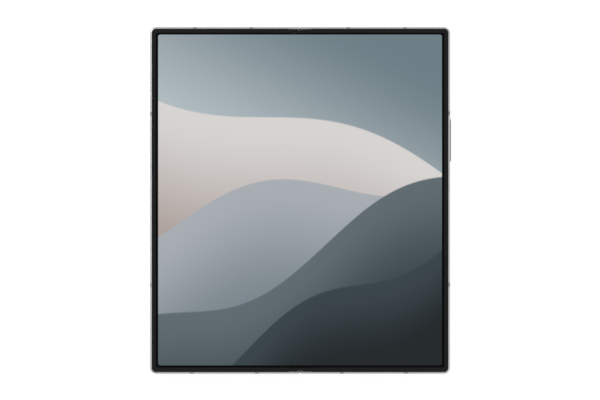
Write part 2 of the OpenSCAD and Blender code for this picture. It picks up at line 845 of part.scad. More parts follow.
module camera_modules() {
    color("darkslategray") for (y = lens_y) {
        disc(barrel_r, lens_x, y, z_back - island_t + lens_seat + seat_gap, z_glass + base_lift + bond);
        translate([lens_x, y]) soft_block(-camera_base / 2, camera_base / 2,
            -camera_base / 2, camera_base / 2, z_glass + base_lift, z_bay, 0.6);
    }
}

module flash_lens() {
    color("white") {
        disc(flash_r, flash_x, flash_y, z_back, z_glass + flash_depth);
        disc(flash_r + flash_flange, flash_x, flash_y, z_glass + seat_gap, z_glass + flash_depth);
    }
}

module main_board() {
    color("darkgreen") difference() {
        soft_block(board_x0, board_x1, board_y0, board_top, z_bay - board_t, z_bay, 0.8);
        disc(inner_cam_r + 0.2, inner_cam_x, inner_cam_y, z_bay - board_t - over, z_bay + over);
        for (p = board_holes()) disc(screw_r + seat_gap, p[0], p[1], z_bay - board_t - over, z_bay + over);
    }
}

function board_holes() = [
    for (x = [board_x0 + hole_inset, board_x1 - hole_inset])
        for (y = [board_y0 + hole_inset, board_top - hole_inset]) [x, y]
];

module board_screws() {
    top = z_bay - board_t;
    color("silver") for (p = board_holes()) translate([p[0], p[1], 0]) {
        translate([0, 0, top - 0.4]) cylinder(r = screw_head_r, h = 0.4);
        translate([0, 0, top - 0.2]) cylinder(r = screw_r, h = board_t + 0.2);
    }
}

module board_shields() {
    z1 = z_bay - board_t;
    z0 = z1 - shield_t;
    edge = 1;
    x1 = board_x0 + (board_x1 - board_x0) * 0.4;
    y1 = board_y0 + edge + shield_h;
    y2 = inner_cam_y - inner_cam_r - 2 * edge;
    color("silver") {
        soft_block(board_x0 + 2 * hole_inset, board_x1 - 2 * hole_inset, board_y0 + edge, y1, z0, z1, 0.5);
        soft_block(board_x0 + edge, x1, y1 + edge, y2, z0, z1, 0.5);
        soft_block(x1 + edge, board_x1 - edge, y1 + edge, y2, z0, z1, 0.5);
    }
}

// A pouch cell from y0 to y1, with a stepped lower edge.
module cell(y0, y1, z0) {
    soft = 0.5;
    soft_block(board_x0, cell_x1, y0, y1, z0 + soft, z_bay, 1.5);
    soft_block(board_x0 + soft, cell_x1 - soft, y0 + soft, y1 - soft, z0, z_bay, 1.5);
}

module main_battery() {
    color("dimgray") cell(cell_y0, cell_y1, cell_z0);
}

module charging_coil() {
    x = (board_x0 + cell_x1) / 2;
    y = (cell_y0 + cell_y1) / 2;
    color("peru") difference() {
        disc(coil_r, x, y, z_glass + seat_gap, cell_z0);
        disc(coil_r / 2, x, y, z_glass, cell_z0 + over);
    }
}

module usb_port() {
    lip = 0.3;
    closed = 1.1;
    tongue_w = 6.7;
    tongue_t = 0.7;
    color("silver") {
        difference() {
            translate([port_x, port_d - half_h, z_key]) rotate([90, 0, 0])
                linear_extrude(port_d - lip) slot_2d(port_w, port_h);
            translate([port_x, port_d - half_h - closed, z_key]) rotate([90, 0, 0])
                linear_extrude(port_d) slot_2d(port_w - 2 * lip, port_h - 2 * lip);
        }
        block(port_x - tongue_w / 2, port_x + tongue_w / 2, 1.6 - half_h, port_d - half_h - closed + bond,
            z_key - tongue_t / 2, z_key + tongue_t / 2);
    }
}

module sub_board() {
    color("darkgreen") difference() {
        soft_block(board_x0, speaker_x0 - 1, 0.4 - bay_y, sub_y1, z_bay - board_t, z_bay, 0.8);
        block(port_x - port_w / 2 - 0.2, port_x + port_w / 2 + 0.2, -half_h, port_d - half_h + 0.3,
            z_bay - board_t - over, z_bay + over);
    }
}

module lower_speaker() {
    color("black") soft_block(speaker_x0, speaker_x1, wall_gap - bay_y, wall_gap + speaker_h - bay_y,
        z_glass + wall_gap, z_bay, 1);
}

module vibration_motor() {
    color("silver") disc(motor_r, (speaker_x0 + speaker_x1) / 2, motor_y, z_bay - motor_t, z_bay);
}

module key_switches() {
    x1 = bay_x - seat_gap - key_travel - 0.1;
    bracket_y = 1.5;
    color("gold") {
        // a bracket on the frame's wall carries each switch
        for (y = [volume_y - stem_dy, volume_y + stem_dy, side_y]) {
            block(x1 - switch_t, x1, y - bracket_y - bond, y + bracket_y + bond, z_key - switch_t, z_bay);
            for (y0 = [y - bracket_y - bracket_w, y + bracket_y])
                block(x1 - switch_t, bay_x, y0, y0 + bracket_w, z_key - switch_t, z_bay);
        }
    }
}

module main_swing_arms() {
    color("lightsteelblue") half_arms(v_main_arm);
}

module main_arm_screws() {
    color("dimgray") half_arm_screws(v_main_arm);
}

module inner_camera() {
    color("black") disc(inner_cam_r, inner_cam_x, inner_cam_y, z_bay - 1.2, z_panel - 0.05);
}

module half_magnets() {
    x1 = bay_x - 0.1;
    mirror_y() soft_block(x1 - magnet_t, x1, magnet_y1 - magnet_l, magnet_y1, z_glass + 1.2, z_bay, 0.2);
}

module main_magnets() {
    color("silver") half_magnets();
}

// A flat cable from the fold down to the parts of its half.
module half_flex() {
    plug_z = z_bay - 1;
    along_y(flex_y - flex_w / 2, flex_y + flex_w / 2) {
        translate([flex_x0, flex_z]) square([flex_x1 - flex_x0, flex_t]);
        translate([flex_x1 - flex_t, plug_z]) square([flex_t, flex_z - plug_z + flex_t]);
        translate([flex_x1 - plug_w, plug_z]) square([plug_w, plug_t]);
    }
}

module main_flex() {
    color("goldenrod") half_flex();
}

module volume_key() {
    color("silver") key_shape(volume_y, volume_l, volume_out, [-stem_dy, stem_dy]);
}

module side_key() {
    color("silver") key_shape(side_y, side_l, side_out, [0]);
}

// ---------------------------------------------------------------- cover half

module cover_frame() {
    color("silver") mirror([1, 0, 0]) difference() {
        half_frame(v_cover_arm);
        break_boxes(cover_top_breaks, cover_bottom_breaks, cover_side_breaks);
        // room for the outer display behind the cover glass
        mirror_y() block(outer_x0 - seat_gap, shelf_x + over, -over, half_h - outer_inset + seat_gap,
            z_glass - over, outer_z1 + 0.1);
        translate([bay_x - over, tray_y, tray_z]) rotate([90, 0, 90])
            linear_extrude(wall_t + 2 * over) square([tray_w + 0.2, tray_t + 0.2], center = true);
        translate([half_w - tray_face_t - seat_gap, tray_y, tray_z]) rotate([90, 0, 90])
            linear_extrude(wall_t) slot_2d(tray_face + 0.1, tray_face_w + 0.1);
        for (i = [-3 : 3]) translate([punch_x + i * 1.4, bay_y - over, z_key]) rotate([-90, 0, 0])
            cylinder(r = mic_r, h = wall_t + 2 * over);
    }
}

module cover_antenna_breaks() {
    color("gray") mirror([1, 0, 0]) half_breaks(cover_top_breaks, cover_bottom_breaks, cover_side_breaks);
}

module cover_rim() {
    color("dimgray") mirror([1, 0, 0]) half_rim();
}

module cover_hinge_caps() {
    color("dimgray") mirror([1, 0, 0]) half_caps();
}

module cover_display_panel() {
    color("slategray") mirror([1, 0, 0]) half_display();
}

module cover_support_plate() {
    color("gainsboro") mirror([1, 0, 0]) half_support();
}

module cover_glass() {
    color("black") mirror([1, 0, 0]) half_glass();
}

module outer_display() {
    color("midnightblue") mirror([1, 0, 0]) difference() {
        half_slab(outer_x0, half_w - outer_inset, half_h - outer_inset, outer_z0, outer_z1, 1.5);
        disc(punch_r + 0.2, punch_x, punch_y, outer_z0 - over, outer_z1 + over);
    }
}

module outer_camera() {
    color("black") mirror([1, 0, 0]) {
        disc(punch_r, punch_x, punch_y, outer_z0, outer_z1 + 0.1 + bond);
        soft_block(punch_x - 3, punch_x + 3, punch_y - 3, punch_y + 3, outer_z1 + 0.1, z_bay, 0.5);
    }
}

module earpiece_speaker() {
    color("dimgray") mirror([1, 0, 0])
        soft_block(punch_x + 5, punch_x + 19, bay_y - 6.3, bay_y - 0.3, outer_z1 + 0.1, z_bay, 0.8);
}

module cover_battery() {
    color("dimgray") mirror([1, 0, 0]) cell(-cover_cell_h / 2, cover_cell_h / 2, outer_z1 + 0.1);
}

module cover_board() {
    color("darkgreen") mirror([1, 0, 0]) difference() {
        soft_block(board_x0, cell_x1, cover_cell_h / 2 + 2, bay_y - 0.4, z_bay - board_t, z_bay, 0.8);
        block(punch_x - 3.3, punch_x + 3.3, punch_y - 3.3, bay_y, z_bay - board_t - over, z_bay + over);
        block(punch_x + 4.5, punch_x + 19.5, bay_y - 6.8, bay_y, z_bay - board_t - over, z_bay + over);
    }
}

module cover_swing_arms() {
    color("lightsteelblue") mirror([1, 0, 0]) half_arms(v_cover_arm);
}

module cover_arm_screws() {
    color("dimgray") mirror([1, 0, 0]) half_arm_screws(v_cover_arm);
}

module cover_magnets() {
    color("silver") mirror([1, 0, 0]) half_magnets();
}

module sim_reader() {
    w = tray_w / 2 + reader_gap;
    t = tray_t / 2 + reader_gap;
    x0 = bay_x - tray_l;
    color("silver") mirror([1, 0, 0]) difference() {
        block(x0, bay_x - 0.1, tray_y - w - reader_wall, tray_y + w + reader_wall, tray_z - t - 0.2, z_bay);
        block(x0 + reader_wall, bay_x + over, tray_y - w, tray_y + w, tray_z - t, tray_z + t);
    }
}

module cover_flex() {
    color("goldenrod") mirror([1, 0, 0]) half_flex();
}

module sim_tray() {
    card_l = 12.3;
    card_w = 8.8;
    color("silver") mirror([1, 0, 0]) difference() {
        union() {
            translate([half_w - tray_face_t, tray_y, tray_z]) rotate([90, 0, 90])
                linear_extrude(tray_face_t) slot_2d(tray_face, tray_face_w);
            soft_block(half_w - tray_l, half_w - tray_face_t + bond, tray_y - tray_w / 2, tray_y + tray_w / 2,
                tray_z - tray_t / 2, tray_z + tray_t / 2, 0.1);
        }
        block(half_w - tray_l + 1, half_w - tray_l + 1 + card_l, tray_y - card_w / 2, tray_y + card_w / 2,
            tray_z - 0.2, tray_z + over);
        translate([half_w - over, tray_y + tray_face / 2 - 2, tray_z]) rotate([0, 90, 0])
            cylinder(r = 0.4, h = 2 * over);
    }
}

// ---------------------------------------------------------------- spine

module spine_cover() {
    inner_y = spine_y - spine_end_t;
    color("gray") difference() {
        along_y(-spine_y, spine_y) spine_outline(spine_r, z_spine_rim);
        along_y(-inner_y, inner_y) spine_outline(spine_r - spine_wall, z_front);
        mirror_y() along_y(inner_y - over / 2, spine_y + over) translate([0, z_spine_end])
            intersection() {
                translate([-half_w / 2, 0]) square([half_w, over]);
                translate([0, -z_spine_end]) spine_outline(spine_r - spine_wall, z_front);
            }
        mirror_y() for (v = [-lug_l / 2, v_end + lug_l / 2])
            disc(lug_screw_r, 0, module_y - v, z_spine_floor - lug_screw_t, z_front);
    }
}

module hinge_blocks() {
    color("slategray") mirror_y() hinge_block();
}

module block_screws() {
    z0 = z_block_floor + lug_t;
    color("silver") mirror_y() for (v = [-lug_l / 2, v_end + lug_l / 2]) {
        disc(lug_head_r, 0, module_y - v, z0, z0 + lug_head_t);
        disc(lug_screw_r, 0, module_y - v, z_spine_floor - lug_screw_t, z0 + lug_head_t);
    }
}

// Each stack is a row of cupped discs on a sync shaft.
module friction_stacks() {
    pitch = stack_w / discs;
    color("goldenrod") mirror_y() mirror_x()
        translate([shaft_x, module_y - v_stack - arm_gap, shaft_z]) rotate([90, 0, 0]) rotate_extrude()
            for (i = [0 : discs - 1]) polygon([
                [shaft_r + run_gap, i * pitch], [hub_r, i * pitch + pitch * 0.3],
                [hub_r, i * pitch + pitch * 0.6], [shaft_r + run_gap, (i + 1) * pitch]
            ]);
}

// Each pad fills the gap between the caps, and its blade the gap between the end walls.
module centre_pads() {
    y0 = spine_y - spine_end_t + seat_gap;
    y1 = spine_y - seat_gap;
    color("gray") mirror_y() {
        block(-pad_x, pad_x, y0, y1, z_spine_end, pad_top_z + bond);
        block(-pad_x, pad_x, y0, half_h - cap_inset, pad_top_z, z_rim + pad_over_rim);
        block(-pad_blade_x, pad_blade_x, y1 - bond, half_h - pad_blade_inset, z_spine_end, pad_top_z + bond);
    }
}

module display_fold() {
    end = cap_y0 - seat_gap;
    color("slategray") block(-bend_x, bend_x, -end, end, z_panel, z_panel + panel_t);
}

module flex_bend() {
    color("goldenrod") block(-flex_x0, flex_x0, flex_y - flex_w / 2, flex_y + flex_w / 2,
        flex_z, flex_z + flex_t);
}

module main_sync_shafts() {
    color("silver") sync_shafts(0);
}

module cover_sync_shafts() {
    color("silver") mirror([1, 0, 0]) sync_shafts(180 / shaft_teeth);
}

module main_idler_gears() {
    color("gold") idler_gears(idler_x, 180 / idler_teeth);
}

module cover_idler_gears() {
    color("gold") idler_gears(-idler_x, 0);
}

main_frame();
main_antenna_breaks();
main_rim();
main_hinge_caps();
main_display_panel();
main_support_plate();
rear_glass();
camera_island();
camera_rings();
camera_lens_glass();
camera_modules();
flash_lens();
main_board();
board_shields();
board_screws();
main_battery();
charging_coil();
usb_port();
sub_board();
lower_speaker();
vibration_motor();
key_switches();
main_swing_arms();
main_arm_screws();
inner_camera();
main_magnets();
main_flex();
volume_key();
side_key();
cover_frame();
cover_antenna_breaks();
cover_rim();
cover_hinge_caps();
cover_display_panel();
cover_support_plate();
cover_glass();
outer_display();
outer_camera();
earpiece_speaker();
cover_battery();
cover_board();
cover_swing_arms();
cover_arm_screws();
cover_magnets();
sim_reader();
cover_flex();
sim_tray();
spine_cover();
hinge_blocks();
block_screws();
friction_stacks();
centre_pads();
display_fold();
flex_bend();
main_sync_shafts();
cover_sync_shafts();
main_idler_gears();
cover_idler_gears();
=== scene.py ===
# A folding phone, opened flat and seen from straight above, as a product picture shows it.
import math

import bmesh
import bpy
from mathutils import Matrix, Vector


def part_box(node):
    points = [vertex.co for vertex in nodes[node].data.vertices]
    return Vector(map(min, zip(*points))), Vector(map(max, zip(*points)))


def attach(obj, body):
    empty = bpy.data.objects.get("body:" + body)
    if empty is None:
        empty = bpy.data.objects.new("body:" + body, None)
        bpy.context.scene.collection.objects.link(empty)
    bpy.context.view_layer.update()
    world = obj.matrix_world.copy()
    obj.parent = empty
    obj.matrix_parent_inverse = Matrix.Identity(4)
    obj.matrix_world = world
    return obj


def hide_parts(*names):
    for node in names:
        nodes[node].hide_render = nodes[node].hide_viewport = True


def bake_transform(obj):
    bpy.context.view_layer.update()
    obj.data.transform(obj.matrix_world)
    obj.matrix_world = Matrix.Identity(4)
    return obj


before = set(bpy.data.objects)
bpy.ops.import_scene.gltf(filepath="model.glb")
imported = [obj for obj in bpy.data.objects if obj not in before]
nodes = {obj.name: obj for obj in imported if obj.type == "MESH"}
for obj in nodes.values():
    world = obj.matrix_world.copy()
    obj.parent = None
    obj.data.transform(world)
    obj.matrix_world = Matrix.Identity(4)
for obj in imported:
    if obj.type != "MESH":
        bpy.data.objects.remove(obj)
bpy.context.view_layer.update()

MM = 0.001

# ---- Studio ----------------------------------------------------------------------------
# The phone lies on a plain white table in a light tent. The tent is darker at its two poles,
# where the camera looks in, so that glossy screens and lenses stay black where they are off.
picture_px = (600, 400)
phone_px = (300.05, 200.4)     # where the middle of the phone is in the picture
mm_per_px = 0.4427
lens_mm = 350
sensor_mm = 36
clip_m = 20                    # further than the table's far corner in any view
tent_light = 0.5               # how bright the tent is as a lamp
tent_sides = 0.8               # and how bright it looks in a mirror, at its sides and its poles
tent_poles = 0.11
pole_from = 0.88               # sine of the height at which the tent starts to darken
pole_to = 0.99                 # and at which it is darkest
table_half_m = 4
table_gap = 0.02 * MM          # keeps the table's top clear of the phone's back
table_glow = 0.76              # what makes the table white to the camera; it lights nothing
table_mirrored = 0.5           # and how bright that glow looks in a mirror


def paint(hex_colour):
    """An sRGB hex colour as linear red, green, blue and alpha."""
    values = [int(hex_colour[i:i + 2], 16) / 255 for i in (0, 2, 4)]
    return [v / 12.92 if v <= 0.04045 else ((v + 0.055) / 1.055) ** 2.4 for v in values] + [1.0]


def add(tree, kind, settings=None, inputs=None):
    """Adds a node with its settings. An input is a value, a socket or a node's first output."""
    node = tree.nodes.new("ShaderNode" + kind)
    for name, value in (settings or {}).items():
        setattr(node, name, value)
    for name, value in (inputs or {}).items():
        if isinstance(value, bpy.types.Node):
            value = value.outputs[0]
        if isinstance(value, bpy.types.NodeSocket):
            tree.links.new(value, node.inputs[name])
        else:
            node.inputs[name].default_value = value
    return node


def finish_of(name, build):
    """A material whose surface is the shader that build returns."""
    material = bpy.data.materials.new(name)
    material.use_nodes = True
    tree = material.node_tree
    tree.nodes.clear()
    add(tree, "OutputMaterial", {}, {"Surface": build(tree)})
    return material


def lamp(name, place, width, watts):
    """A round lamp that points at the phone, at a place and of a width in metres."""
    data = bpy.data.lights.new(name, "AREA")
    data.shape = "DISK"
    data.size = width
    data.energy = watts
    light = bpy.data.objects.new(name, data)
    light.location = place
    light.rotation_euler = (-Vector(place)).to_track_quat("-Z", "Y").to_euler()
    scene.collection.objects.link(light)


def seen(tree, path):
    """1 for what the camera sees, straight or through glass, and 0 for all other light."""
    return add(tree, "Math", {"operation": "MAXIMUM"},
               {0: path.outputs["Is Camera Ray"], 1: path.outputs["Is Transmission Ray"]})


def tent(tree):
    # White to the camera, a soft lamp to the phone, and grey at its poles in a mirror.
    path = add(tree, "LightPath")
    way = add(tree, "SeparateXYZ", {}, {0: add(tree, "TexCoord").outputs["Generated"]})
    steep = add(tree, "Math", {"operation": "ABSOLUTE"}, {0: way.outputs["Z"]})
    mirrored = add(tree, "MapRange", {"interpolation_type": "SMOOTHSTEP"}, {
        "Value": steep, "From Min": pole_from, "From Max": pole_to,
        "To Min": tent_sides, "To Max": tent_poles})
    unseen = add(tree, "Mix", {"data_type": "FLOAT"},
                 {0: path.outputs["Is Glossy Ray"], 2: tent_light, 3: mirrored})
    level = add(tree, "Mix", {"data_type": "FLOAT"}, {0: seen(tree, path), 2: unseen, 3: 1.0})
    return add(tree, "Background", {}, {"Color": (1, 1, 1, 1), "Strength": level})


def table_top(tree):
    # White laminate. The lamp under the table shines through it, to light the phone's back.
    path = add(tree, "LightPath")
    straight = add(tree, "Math", {"operation": "MULTIPLY"}, {0: seen(tree, path), 1: table_glow})
    glow = add(tree, "Mix", {"data_type": "FLOAT"},
               {0: path.outputs["Is Glossy Ray"], 2: straight, 3: table_mirrored})
    white = add(tree, "BsdfPrincipled", {}, {
        "Base Color": paint("B3B3B3"), "Roughness": 0.9, "Specular IOR Level": 0.1,
        "Emission Color": (1, 1, 1, 1), "Emission Strength": glow})
    below = add(tree, "Math", {"operation": "MAXIMUM"}, {
        0: add(tree, "NewGeometry").outputs["Backfacing"], 1: path.outputs["Is Shadow Ray"]})
    return add(tree, "MixShader", {}, {0: below, 1: white, 2: add(tree, "BsdfTransparent")})


scene = bpy.context.scene
scene.view_settings.view_transform = "Standard"
scene.world = bpy.data.worlds.new("light_tent")
scene.world.use_nodes = True
scene.world.node_tree.nodes.clear()
add(scene.world.node_tree, "OutputWorld", {}, {"Surface": tent(scene.world.node_tree)})

lamp("key_lamp", place=(-0.75, 0.45, 0.80), width=0.7, watts=4.4)
lamp("fill_lamp", place=(0.85, -0.35, 0.60), width=0.8, watts=1.6)
lamp("under_lamp", place=(0.1, -0.2, -0.9), width=0.9, watts=3.0)

screen_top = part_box("main_rim")[1][2]
view_width = picture_px[0] * mm_per_px * MM
camera_data = bpy.data.cameras.new("camera")
camera_data.lens = lens_mm
camera_data.sensor_width = sensor_mm
camera_data.clip_end = clip_m
camera = bpy.data.objects.new("camera", camera_data)
camera.location = ((picture_px[0] / 2 - phone_px[0]) * mm_per_px * MM,
                   (phone_px[1] - picture_px[1] / 2) * mm_per_px * MM,
                   screen_top + view_width * lens_mm / sensor_mm)
scene.collection.objects.link(camera)
scene.camera = camera

sheet_mesh = bmesh.new()
bmesh.ops.create_grid(sheet_mesh, x_segments=1, y_segments=1, size=table_half_m)
table_data = bpy.data.meshes.new("table_top")
sheet_mesh.to_mesh(table_data)
sheet_mesh.free()
table = bpy.data.objects.new("table_top", table_data)
table.location.z = -table_gap
table_data.materials.append(finish_of("white laminate", table_top))
scene.collection.objects.link(table)

# ---- Frames, keys and card tray --------------------------------------------------------
# Each half's frame is milled from aluminium, blasted with fine glass beads and anodised a
# pale silver. The keys and the tray's face are cut from the same bar and blasted with it.
bead_mark = 0.16 * MM          # coarser than real blasting, so that the grain shows


def tone_between(tree, factor, dark, light, low=0.3, high=0.7):
    """A colour that goes from dark to light with a factor. Most noise lies between 0.3 and 0.7."""
    share = add(tree, "MapRange", {}, {"Value": factor, "From Min": low, "From Max": high})
    return add(tree, "Mix", {"data_type": "RGBA"},
               {0: share, 6: paint(dark), 7: paint(light)}).outputs[2]


def grained(tree, size, depth, strength):
    """The height of a grain, and its bump, from the grain's size and depth in metres."""
    place = add(tree, "TexCoord").outputs["Object"]
    grain = add(tree, "TexNoise", {}, {"Vector": place, "Scale": 1 / size, "Detail": 2.0})
    bump = add(tree, "Bump", {}, {"Height": grain, "Strength": strength, "Distance": depth})
    return grain, bump


def dress(names, material):
    """Gives CAD nodes a material in all their slots."""
    for name in names:
        for slot in nodes[name].material_slots:
            slot.material = material


def anodised(tree):
    # Soft wide highlights with no lines in them, and a grain that only shows close up.
    grain, bump = grained(tree, size=bead_mark, depth=0.01 * MM, strength=0.25)
    place = add(tree, "TexCoord").outputs["Object"]
    cloud = add(tree, "TexNoise", {}, {"Vector": place, "Scale": 1 / (9 * MM), "Detail": 1.0})
    rough = add(tree, "MapRange", {}, {"Value": cloud, "To Min": 0.36, "To Max": 0.44})
    return add(tree, "BsdfPrincipled", {}, {
        "Base Color": tone_between(tree, grain, "BEBFBE", "C8C8C7"), "Metallic": 1.0,
        "Roughness": rough, "Normal": bump})


anodised_silver = finish_of("bead-blasted anodised aluminium", anodised)
dress(["main_frame", "cover_frame", "volume_key", "side_key", "sim_tray"], anodised_silver)

# ---- Antenna breaks --------------------------------------------------------------------
# Moulded inserts of filled nylon that split the metal frame into aerials. They are dyed to
# match it and blasted with it, and show only a little darker and duller than the metal.


def filled_nylon(tree):
    # An even grey without the metal's shine.
    grain, bump = grained(tree, size=bead_mark, depth=0.01 * MM, strength=0.2)
    return add(tree, "BsdfPrincipled", {}, {
        "Base Color": tone_between(tree, grain, "868786", "929392"), "Roughness": 0.5,
        "Normal": bump})


nylon = finish_of("moulded filled nylon", filled_nylon)
dress(["main_antenna_breaks", "cover_antenna_breaks"], nylon)

# ---- Circuit boards --------------------------------------------------------------------
# Glass laminate under dark green solder mask, with the copper planes faintly showing. Sheet
# cans are soldered over the chips, and small blackened screws hold the boards down.
copper_patch = 1.2 * MM


def solder_mask(tree):
    # Smooth and glossy, slightly lighter where copper lies under the mask.
    place = add(tree, "TexCoord").outputs["Object"]
    copper = add(tree, "TexVoronoi", {"distance": "MANHATTAN"},
                 {"Vector": place, "Scale": 1 / copper_patch})
    return add(tree, "BsdfPrincipled", {}, {
        "Base Color": tone_between(tree, copper, "1F4A34", "16382A", 0.2, 0.5),
        "Roughness": 0.35})


def tinned_sheet(tree):
    # Bright rolled metal with a faint mottle from the tin bath.
    place = add(tree, "TexCoord").outputs["Object"]
    mottle = add(tree, "TexNoise", {}, {"Vector": place, "Scale": 1 / (2.5 * MM), "Detail": 2.0})
    rough = add(tree, "MapRange", {}, {"Value": mottle, "To Min": 0.24, "To Max": 0.40})
    return add(tree, "BsdfPrincipled", {}, {
        "Base Color": tone_between(tree, mottle, "B9B8B2", "C9C8C3"), "Metallic": 1.0,
        "Roughness": rough})


def blackened_steel(tree):
    # Dark oxide with lighter metal where tools have rubbed it.
    grain, bump = grained(tree, size=0.2 * MM, depth=0.01 * MM, strength=0.2)
    return add(tree, "BsdfPrincipled", {}, {
        "Base Color": tone_between(tree, grain, "3A3A3B", "5A5A5C", 0.5, 0.75), "Metallic": 1.0,
        "Roughness": 0.4, "Normal": bump})


green_board = finish_of("solder mask on glass laminate", solder_mask)
tin = finish_of("tinned steel sheet", tinned_sheet)
black_screws = finish_of("blackened steel", blackened_steel)
dress(["main_board", "sub_board", "cover_board"], green_board)
dress(["board_shields", "sim_reader", "vibration_motor"], tin)
dress(["board_screws", "main_arm_screws", "cover_arm_screws", "block_screws"], black_screws)

# ---- Battery cells ---------------------------------------------------------------------
# Flat lithium cells, heat-sealed in a pouch of dark laminated foil. Each is glued into its
# bay in the frame.


def foil_pouch(tree):
    # Dull foil with soft crinkles where it is drawn over the cell.
    place = add(tree, "TexCoord").outputs["Object"]
    crinkle = add(tree, "TexNoise", {}, {"Vector": place, "Scale": 1 / (3 * MM), "Detail": 3.0})
    bump = add(tree, "Bump", {}, {"Height": crinkle, "Strength": 0.3, "Distance": 0.1 * MM})
    return add(tree, "BsdfPrincipled", {}, {
        "Base Color": tone_between(tree, crinkle, "26272A", "303135"), "Roughness": 0.4,
        "Normal": bump})


dress(["main_battery", "cover_battery"], finish_of("laminated foil pouch", foil_pouch))

# ---- Charging coil ---------------------------------------------------------------------
# A flat spiral of enamelled copper wire, wound in one layer and glued to the back of the
# larger cell.
wire_pitch = 0.8 * MM


def corners(node):
    """A CAD node's lowest and highest corners."""
    return [Vector(corner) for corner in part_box(node)]


def from_middle(tree, node):
    """How far a place is from the upright line through the middle of a CAD node, in metres."""
    middle = sum(corners(node), Vector()) / 2
    place = add(tree, "TexCoord").outputs["Object"]
    flat = add(tree, "VectorMath", {"operation": "MULTIPLY"}, {0: place, 1: (1, 1, 0)})
    return add(tree, "VectorMath", {"operation": "DISTANCE"},
               {0: flat, 1: (middle.x, middle.y, 0)}).outputs["Value"]


def enamelled_winding(tree):
    # Round wires side by side: each turn is a raised line, and painted shade darkens the colour in
    # the gap beside it.
    reach = from_middle(tree, "charging_coil")
    turn = add(tree, "Math", {"operation": "PINGPONG"}, {0: reach, 1: wire_pitch / 2})
    bump = add(tree, "Bump", {}, {"Height": turn, "Strength": 1.0, "Distance": 1.0})
    return add(tree, "BsdfPrincipled", {}, {
        # Painted shade: the copper colour goes dark in each gap between the wires.
        "Base Color": tone_between(tree, turn, "5E2F1A", "B5693F", 0.0, wire_pitch / 4),
        "Metallic": 0.8, "Roughness": 0.35, "Normal": bump})


dress(["charging_coil"], finish_of("enamelled copper winding", enamelled_winding))

# ---- Speakers and small cameras --------------------------------------------------------
# Closed boxes of glass-filled black plastic, in pockets of the frames. The tool that moulds
# them gives them a fine spark-eroded texture.


def glass_filled_plastic(tree):
    # Dull black, with a faint sparkle of texture under a raking light.
    grain, bump = grained(tree, size=0.14 * MM, depth=0.01 * MM, strength=0.25)
    return add(tree, "BsdfPrincipled", {}, {
        "Base Color": tone_between(tree, grain, "161617", "1E1E1F"), "Roughness": 0.55,
        "Normal": bump})


black_plastic = finish_of("glass-filled black plastic", glass_filled_plastic)
dress(["camera_modules", "inner_camera", "outer_camera"], black_plastic)
dress(["lower_speaker", "earpiece_speaker"], black_plastic)

# ---- Charging port ---------------------------------------------------------------------
# A shell that is deep-drawn from stainless steel, round a tongue of contacts. It opens at
# the phone's lower edge.


def drawn_lines(tree, width, along):
    """The height of fine lines along Y, from their width in metres and the scale along them."""
    place = add(tree, "TexCoord").outputs["Object"]
    squeezed = add(tree, "Mapping", {}, {"Vector": place, "Scale": (1, along, 1)})
    return add(tree, "TexNoise", {}, {"Vector": squeezed, "Scale": 1 / width, "Detail": 2.0})


def drawn_steel(tree):
    # Satin, with fine lines along the way that the shell was drawn.
    lines = drawn_lines(tree, width=0.15 * MM, along=0.05)
    rough = add(tree, "MapRange", {}, {"Value": lines, "To Min": 0.25, "To Max": 0.42})
    return add(tree, "BsdfPrincipled", {}, {
        "Base Color": tone_between(tree, lines, "8E8F90", "A2A3A4"), "Metallic": 1.0,
        "Roughness": rough})


dress(["usb_port"], finish_of("deep-drawn stainless steel", drawn_steel))

# ---- Key switches ----------------------------------------------------------------------
# Snap domes behind the keys in the phone's side, in brackets that are stamped from brass and
# lightly gold plated.


def plated_brass(tree):
    # Warm yellow metal, with grey specks where the plating is thin.
    grain, bump = grained(tree, size=0.2 * MM, depth=0.01 * MM, strength=0.15)
    rough = add(tree, "MapRange", {}, {"Value": grain, "To Min": 0.22, "To Max": 0.36})
    return add(tree, "BsdfPrincipled", {}, {
        "Base Color": tone_between(tree, grain, "B59A5E", "D2B26C", 0.3, 0.5), "Metallic": 1.0,
        "Roughness": rough, "Normal": bump})


brass = finish_of("stamped and plated brass", plated_brass)
dress(["key_switches"], brass)

# ---- Magnets ---------------------------------------------------------------------------
# Sintered magnets in both halves, which hold them together when they are folded. A thick
# nickel plating keeps them from rusting.


def nickel_plating(tree):
    # Bright and slightly wavy, because the plating fills the sintered grain.
    grain, bump = grained(tree, size=0.6 * MM, depth=0.02 * MM, strength=0.2)
    return add(tree, "BsdfPrincipled", {}, {
        "Base Color": tone_between(tree, grain, "A8A69F", "B6B4AE"), "Metallic": 1.0,
        "Roughness": 0.18, "Normal": bump})


dress(["main_magnets", "cover_magnets"], finish_of("nickel plating", nickel_plating))

# ---- Hinge -----------------------------------------------------------------------------
# Blocks, arms and shafts are moulded from steel powder and sintered. The arms' curved rails
# slide in the blocks, and brass idlers tie the two shafts. Disc springs give the friction.


def sintered_steel(tree):
    # Even grey with fine pores, rubbed a little brighter on the high spots.
    grain, bump = grained(tree, size=0.18 * MM, depth=0.015 * MM, strength=0.3)
    rough = add(tree, "MapRange", {}, {"Value": grain, "To Min": 0.30, "To Max": 0.46})
    return add(tree, "BsdfPrincipled", {}, {
        "Base Color": tone_between(tree, grain, "85878B", "9DA0A4"), "Metallic": 1.0,
        "Roughness": rough, "Normal": bump})


hinge_steel = finish_of("sintered steel", sintered_steel)
dress(["hinge_blocks", "main_swing_arms", "cover_swing_arms"], hinge_steel)
dress(["main_sync_shafts", "cover_sync_shafts"], hinge_steel)
dress(["main_idler_gears", "cover_idler_gears", "friction_stacks"], brass)

# ---- Spine cover -----------------------------------------------------------------------
# The trough that hides the hinge is extruded from aluminium, then blasted and anodised with
# the frames.
dress(["spine_cover"], anodised_silver)

